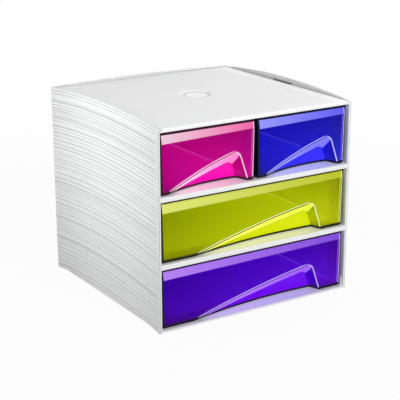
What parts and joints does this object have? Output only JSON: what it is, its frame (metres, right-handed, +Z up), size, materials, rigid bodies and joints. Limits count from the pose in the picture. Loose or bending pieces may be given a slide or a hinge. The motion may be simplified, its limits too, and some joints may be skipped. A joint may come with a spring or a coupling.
{
  "type": "desk drawer tower",
  "caption": "White desktop drawer tower with arched, ribbed sides, two half-width drawers over two full-width ones in tinted clear plastic, each with a swept finger recess.",
  "frame": {"origin": "on the ground, under the middle of the casing", "axes": "+X to the right seen from the front, +Y to the back, +Z up; the drawers open towards -Y"},
  "size_m": [0.18, 0.1794, 0.1649],
  "materials": {
    "casing": "white moulded polystyrene, satin gloss",
    "pink": "clear polystyrene tinted pink, polished",
    "blue": "clear polystyrene tinted blue, polished",
    "yellow": "clear polystyrene tinted yellow-green, polished",
    "purple": "clear polystyrene tinted purple, polished"
  },
  "bodies": {
    "casing": {"left_side_panel": "casing", "right_side_panel": "casing", "back_panel": "casing", "top_panel": "casing", "base_panel": "casing", "upper_shelf": "casing", "lower_shelf": "casing", "centre_divider": "casing"},
    "upper_left_drawer": {"upper_left_drawer": "pink"},
    "upper_right_drawer": {"upper_right_drawer": "blue"},
    "middle_drawer": {"middle_drawer": "yellow"},
    "bottom_drawer": {"bottom_drawer": "purple"}
  },
  "joints": [
    {"name": "upper_left_slide", "type": "slide", "parent": "casing", "child": "upper_left_drawer", "axis": [0, -1, 0], "range_m": [0, 0.12]},
    {"name": "upper_right_slide", "type": "slide", "parent": "casing", "child": "upper_right_drawer", "axis": [0, -1, 0], "range_m": [0, 0.12]},
    {"name": "middle_slide", "type": "slide", "parent": "casing", "child": "middle_drawer", "axis": [0, -1, 0], "range_m": [0, 0.12]},
    {"name": "bottom_slide", "type": "slide", "parent": "casing", "child": "bottom_drawer", "axis": [0, -1, 0], "range_m": [0, 0.12]}
  ]
}
